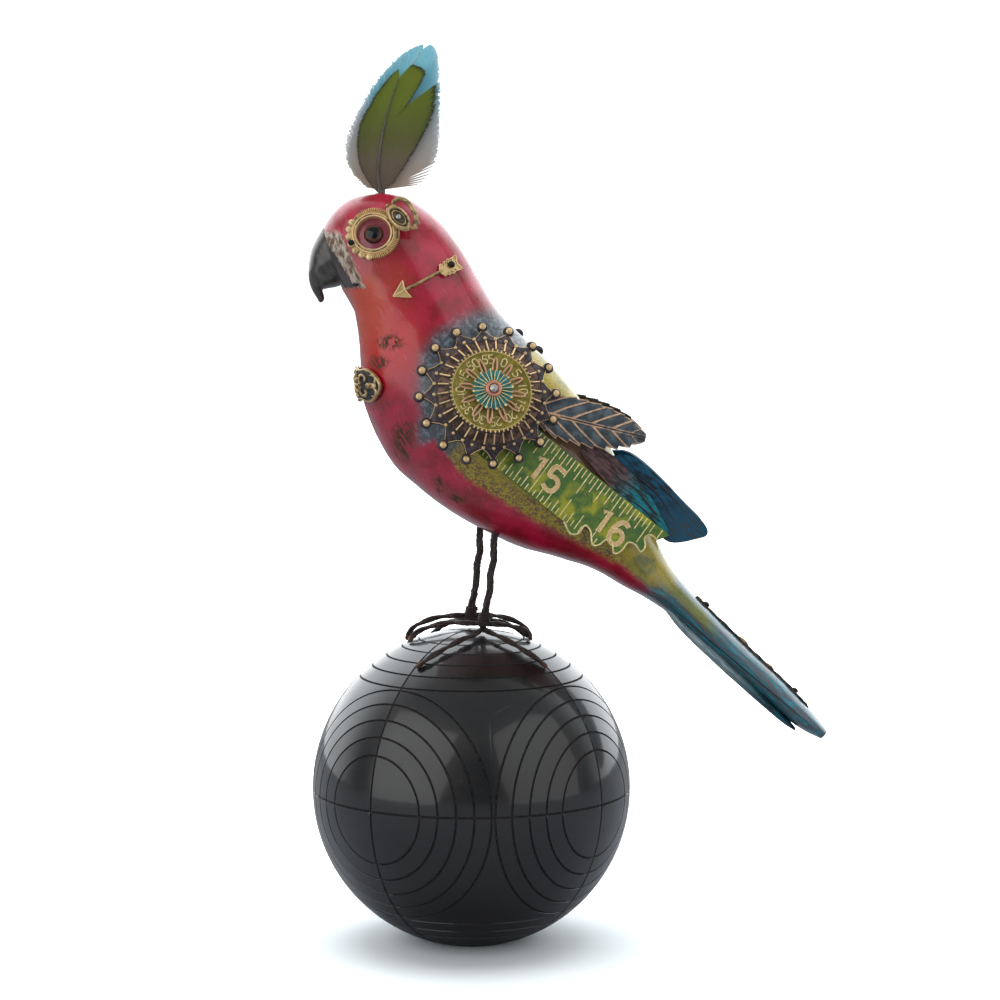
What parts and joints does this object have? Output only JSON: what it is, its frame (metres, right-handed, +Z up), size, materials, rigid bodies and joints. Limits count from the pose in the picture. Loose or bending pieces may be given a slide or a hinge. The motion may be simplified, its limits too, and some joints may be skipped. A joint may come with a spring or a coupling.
{
  "type": "bird figure on a ball",
  "caption": "Carved crested bird on wire legs, standing on a grooved ball, with nailed metal findings and a turning rosette on each wing.",
  "frame": {"origin": "centre of the ball's flat foot, on the surface that it stands on", "axes": "+Z up, the bird looks along -X, its left side is at -Y"},
  "size_m": [0.1736, 0.107, 0.2993],
  "materials": {
    "black_ball": "polished moulded ball with turned grooves, light dust in the grooves",
    "painted_wood": "carved wood, glossy crimson paint worn to brown, olive wing and rump",
    "horn": "carved wood painted dark grey brown, satin",
    "glass_eye": "amber glass bead with a black pupil",
    "brass": "cast brass, rubbed bright on its ridges",
    "aged_brass": "blackened brass with rubbed gold edges",
    "olive_brass": "olive patina over brass with bare raised figures",
    "copper": "rubbed copper",
    "verdigris": "verdigris paint rubbed back to metal on the petals",
    "steel": "plain steel nail head",
    "black_nail": "blackened iron",
    "slate_copper": "slate blue patina with bare copper veins and edges",
    "green_rule": "green and yellow patina with bare brass figures and ticks",
    "blue_wood": "carved wood painted teal over dark grey",
    "dark_wire": "twisted iron wire, dark brown wax",
    "pale_feather": "real feather, white and grey with a pale blue tip",
    "green_feather": "real feather, green with a dark shaft"
  },
  "bodies": {
    "figure": {"ball": "black_ball", "beak_lower": "horn", "beak_upper": "horn", "body": "painted_wood", "breast_plaque": "aged_brass", "crest_feather_green": "green_feather", "crest_feather_pale": "pale_feather", "left_ankle_wrap": "dark_wire", "left_arrow": "aged_brass", "left_arrow_nail": "black_nail", "left_eye": "glass_eye", "left_eye_charm": "aged_brass", "left_eye_charm_nail": "steel", "left_eye_ring": "brass", "left_eye_ring_nail": "black_nail", "left_leaf": "slate_copper", "left_leg": "dark_wire", "left_rosette_nail": "steel", "left_ruler": "green_rule", "left_wing_long": "blue_wood", "left_wing_short": "blue_wood", "plaque_nail_left": "black_nail", "plaque_nail_right": "black_nail", "right_ankle_wrap": "dark_wire", "right_arrow": "aged_brass", "right_arrow_nail": "black_nail", "right_eye": "glass_eye", "right_eye_charm": "aged_brass", "right_eye_charm_nail": "steel", "right_eye_ring": "brass", "right_eye_ring_nail": "black_nail", "right_leaf": "slate_copper", "right_leg": "dark_wire", "right_rosette_nail": "steel", "right_ruler": "green_rule", "right_wing_long": "blue_wood", "right_wing_short": "blue_wood", "tail_nail_front": "black_nail", "tail_nail_rear": "black_nail", "tail_strip": "aged_brass", "tail_under": "blue_wood"},
    "left_rosette": {"left_dial": "olive_brass", "left_eyelet": "copper", "left_flower": "verdigris", "left_petal_ring": "copper", "left_starburst": "aged_brass"},
    "right_rosette": {"right_dial": "olive_brass", "right_eyelet": "copper", "right_flower": "verdigris", "right_petal_ring": "copper", "right_starburst": "aged_brass"}
  },
  "joints": [
    {"name": "left_rosette_spin", "type": "hinge", "parent": "figure", "child": "left_rosette", "pos_m": [0.0069, -0.0302, 0.1864], "axis": [0.2259, -0.9297, 0.2909], "continuous": true},
    {"name": "right_rosette_spin", "type": "hinge", "parent": "figure", "child": "right_rosette", "pos_m": [0.0069, 0.0302, 0.1864], "axis": [0.2259, 0.9297, 0.2909], "continuous": true}
  ]
}
